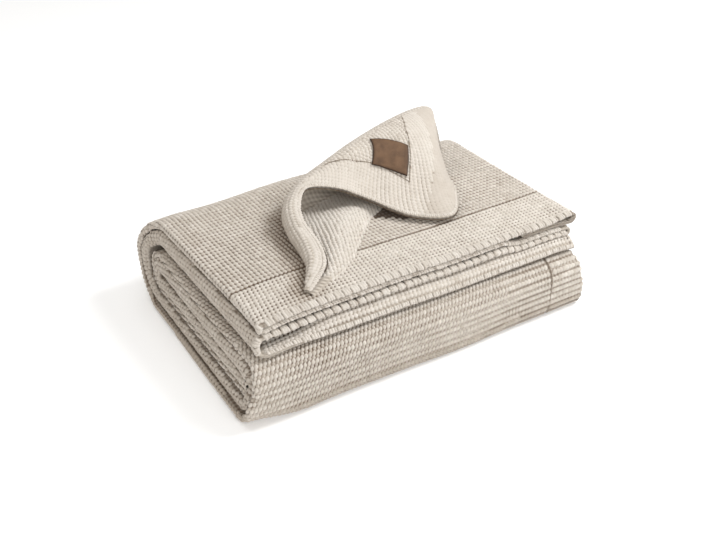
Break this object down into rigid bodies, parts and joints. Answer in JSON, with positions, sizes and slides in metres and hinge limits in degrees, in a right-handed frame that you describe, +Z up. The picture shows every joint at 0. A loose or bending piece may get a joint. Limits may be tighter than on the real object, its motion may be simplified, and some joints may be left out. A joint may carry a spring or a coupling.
{
  "type": "folded knitted blanket",
  "caption": "Cream knitted throw folded in layers and wrapped into a flat roll, with one corner turned up to show a bare leather label.",
  "frame": {"origin": "middle of the footprint on the surface that the folded blanket rests on", "axes": "+X along the roll to the right as seen from the front, +Y from the front hems to the rounded back, +Z up"},
  "size_m": [0.421, 0.2924, 0.1693],
  "materials": {
    "knit": "matt cream yarn in garter stitch",
    "leather": "satin tan leather"
  },
  "bodies": {
    "root": {"blanket": "knit", "label": "leather"}
  },
  "joints": []
}
